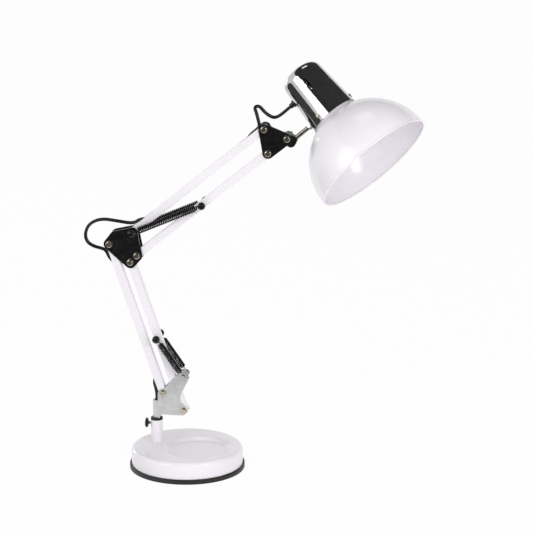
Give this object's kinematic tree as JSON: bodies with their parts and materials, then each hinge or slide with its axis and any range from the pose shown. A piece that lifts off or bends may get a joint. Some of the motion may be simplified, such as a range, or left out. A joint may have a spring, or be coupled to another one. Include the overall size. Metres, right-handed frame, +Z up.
{
  "type": "architect desk lamp",
  "caption": "Swing-arm desk lamp: parallel-bar arm with springs on a round weighted base, a swivelling post, and a domed shade under a chrome cup that tilts and turns.",
  "frame": {"origin": "middle of the base's underside, where it stands", "axes": "+Z up, +X along the arm towards the head, +Y to the left of that, away from the picture's camera"},
  "size_m": [0.4393, 0.1691, 0.5379],
  "materials": {
    "white_paint": "gloss",
    "chrome": "polished",
    "zinc": "satin",
    "nickel": "polished",
    "black_paint": "gloss",
    "black_steel": "satin",
    "black_plastic": "gloss",
    "white_plastic": "satin",
    "black_rubber": "matt",
    "felt": "matt",
    "iron": "rough",
    "steel": "satin",
    "brass": "polished"
  },
  "bodies": {
    "base": {"base_shell": "white_paint", "base_weight": "iron", "base_plate": "steel", "base_pad": "felt", "rim_trim": "black_rubber", "post_tube": "white_paint", "post_nut": "nickel", "post_collar": "black_plastic", "base_gland": "black_plastic", "post_lead": "black_rubber"},
    "clamp_screw": {"thumb_screw": "black_plastic"},
    "bracket": {"swivel_bracket": "zinc", "swivel_pin": "zinc", "bracket_bolts": "nickel", "bracket_nuts": "nickel", "bracket_spacers": "white_plastic", "ear_pegs": "zinc"},
    "rear_bar": {"lower_rear_bar": "white_paint", "lower_lead": "black_rubber", "foot_lead": "black_rubber"},
    "front_bar": {"lower_front_bar": "white_paint", "lower_spring_pin": "steel", "lower_spring_caps": "black_plastic", "lower_spring_near": "black_steel", "lower_spring_far": "black_steel"},
    "elbow": {"elbow_plate_near": "black_paint", "elbow_plate_far": "black_paint", "elbow_bolts": "nickel", "elbow_nuts": "nickel", "elbow_spacers": "white_plastic", "elbow_spring_pin": "steel", "elbow_spring_caps": "black_plastic", "elbow_lead": "black_rubber"},
    "top_bar": {"upper_top_bar": "white_paint", "upper_lead": "black_rubber"},
    "bottom_bar": {"upper_bottom_bar": "white_paint", "upper_spring_pin": "steel", "upper_spring_caps": "black_plastic", "upper_spring_near": "black_steel", "upper_spring_far": "black_steel"},
    "head_bracket": {"head_plate_near": "black_paint", "head_plate_far": "black_paint", "head_bolts": "nickel", "head_nuts": "nickel", "head_spacers": "white_plastic", "head_lead": "black_rubber"},
    "knob": {"tilt_knob": "black_plastic"},
    "stem": {"knuckle": "black_plastic", "stem_rod": "chrome", "stem_nuts": "chrome"},
    "head": {"cup": "chrome", "cup_screws": "nickel", "shade": "white_paint", "shade_ring": "white_plastic", "holder_disc": "white_plastic", "lampholder": "white_plastic", "holder_thread": "brass", "head_gland": "black_plastic", "switch_body": "black_plastic"},
    "button": {"switch_button": "black_plastic"}
  },
  "joints": [
    {"name": "base_swivel", "type": "hinge", "parent": "base", "child": "bracket", "pos_m": [-0.04226, 0.01188, 0.0612], "axis": [0, 0, 1], "range_deg": [-170, 170]},
    {"name": "clamp_turn", "type": "hinge", "parent": "base", "child": "clamp_screw", "pos_m": [-0.05006, 0.01188, 0.0525], "axis": [1, 0, 0], "continuous": true},
    {"name": "lower_arm", "type": "hinge", "parent": "bracket", "child": "rear_bar", "pos_m": [-0.03326, 0.01188, 0.096], "axis": [0, 1, 0], "range_deg": [-12, 35], "deforming": ["foot_lead"]},
    {"name": "front_follow", "type": "hinge", "parent": "bracket", "child": "front_bar", "pos_m": [-0.00586, 0.01188, 0.073], "axis": [0, 1, 0], "range_deg": [-12, 35], "deforming": ["lower_spring_near", "lower_spring_far"]},
    {"name": "elbow_follow", "type": "hinge", "parent": "rear_bar", "child": "elbow", "pos_m": [-0.10122, 0.01188, 0.29449], "axis": [0, 1, 0], "range_deg": [-35, 12], "deforming": ["elbow_lead"]},
    {"name": "upper_arm", "type": "hinge", "parent": "elbow", "child": "top_bar", "pos_m": [-0.07022, 0.01188, 0.31159], "axis": [0, 1, 0], "range_deg": [-30, 45]},
    {"name": "bottom_follow", "type": "hinge", "parent": "elbow", "child": "bottom_bar", "pos_m": [-0.06502, 0.01188, 0.28049], "axis": [0, 1, 0], "range_deg": [-30, 45], "deforming": ["upper_spring_near", "upper_spring_far"]},
    {"name": "head_follow", "type": "hinge", "parent": "top_bar", "child": "head_bracket", "pos_m": [0.1006, 0.01188, 0.45291], "axis": [0, 1, 0], "range_deg": [-45, 30], "deforming": ["head_lead"]},
    {"name": "head_tilt", "type": "hinge", "parent": "head_bracket", "child": "stem", "pos_m": [0.1302, 0.01188, 0.44151], "axis": [0, 1, 0], "range_deg": [-50, 55]},
    {"name": "knob_turn", "type": "hinge", "parent": "head_bracket", "child": "knob", "pos_m": [0.1302, 0.01898, 0.44151], "axis": [0, 1, 0], "continuous": true},
    {"name": "head_swivel", "type": "hinge", "parent": "stem", "child": "head", "pos_m": [0.18318, 0.01188, 0.47941], "axis": [0.7501, 0, 0.6613], "range_deg": [-75, 75]},
    {"name": "switch_push", "type": "slide", "parent": "head", "child": "button", "axis": [-0.3952, -0.9168, 0.0578], "range_m": [0, 0.002], "stiffness_N_per_m": 300, "springref_m": -0.001}
  ],
  "couplings": [
    {"joint": "front_follow", "follows": "lower_arm", "ratio": 1},
    {"joint": "elbow_follow", "follows": "lower_arm", "ratio": -1},
    {"joint": "bottom_follow", "follows": "upper_arm", "ratio": 1},
    {"joint": "head_follow", "follows": "upper_arm", "ratio": -1}
  ]
}
